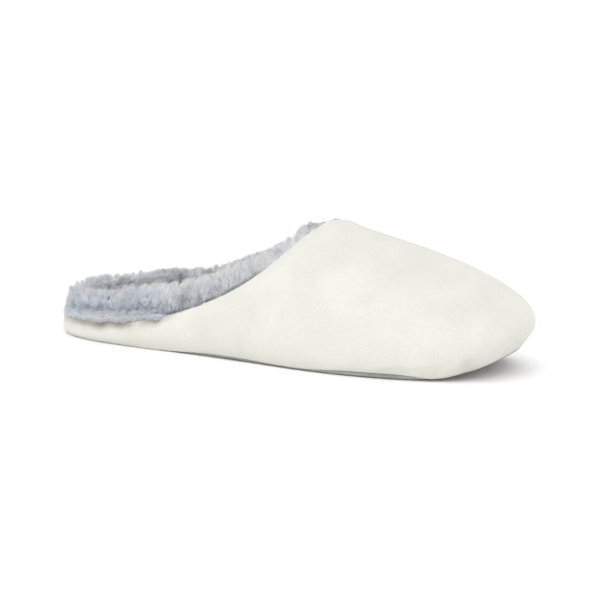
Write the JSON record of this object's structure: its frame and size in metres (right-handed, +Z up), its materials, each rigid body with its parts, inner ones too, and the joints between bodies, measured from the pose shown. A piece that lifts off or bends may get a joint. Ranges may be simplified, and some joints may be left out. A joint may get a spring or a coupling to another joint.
{
  "type": "slipper",
  "caption": "Closed-toe house slipper for the right foot: velvet upper over the forefoot, deep fur collar around an open low heel, fur footbed and a thin flexible sole.",
  "frame": {"origin": "on the floor under the middle of the slipper's outline", "axes": "+X to the toe, +Y to the inner (medial) side of the right foot, +Z up"},
  "size_m": [0.2655, 0.1034, 0.0709],
  "materials": {
    "velvet": "matte cream velvet with a short soft nap",
    "fur": "matte blue-grey faux fur, deep pile",
    "footbed": "matte blue-grey faux fur, clumpy pile",
    "sole": "matte dark grey"
  },
  "bodies": {
    "root": {"outsole": "sole", "insole": "footbed", "upper": "velvet", "collar": "fur"}
  },
  "joints": []
}
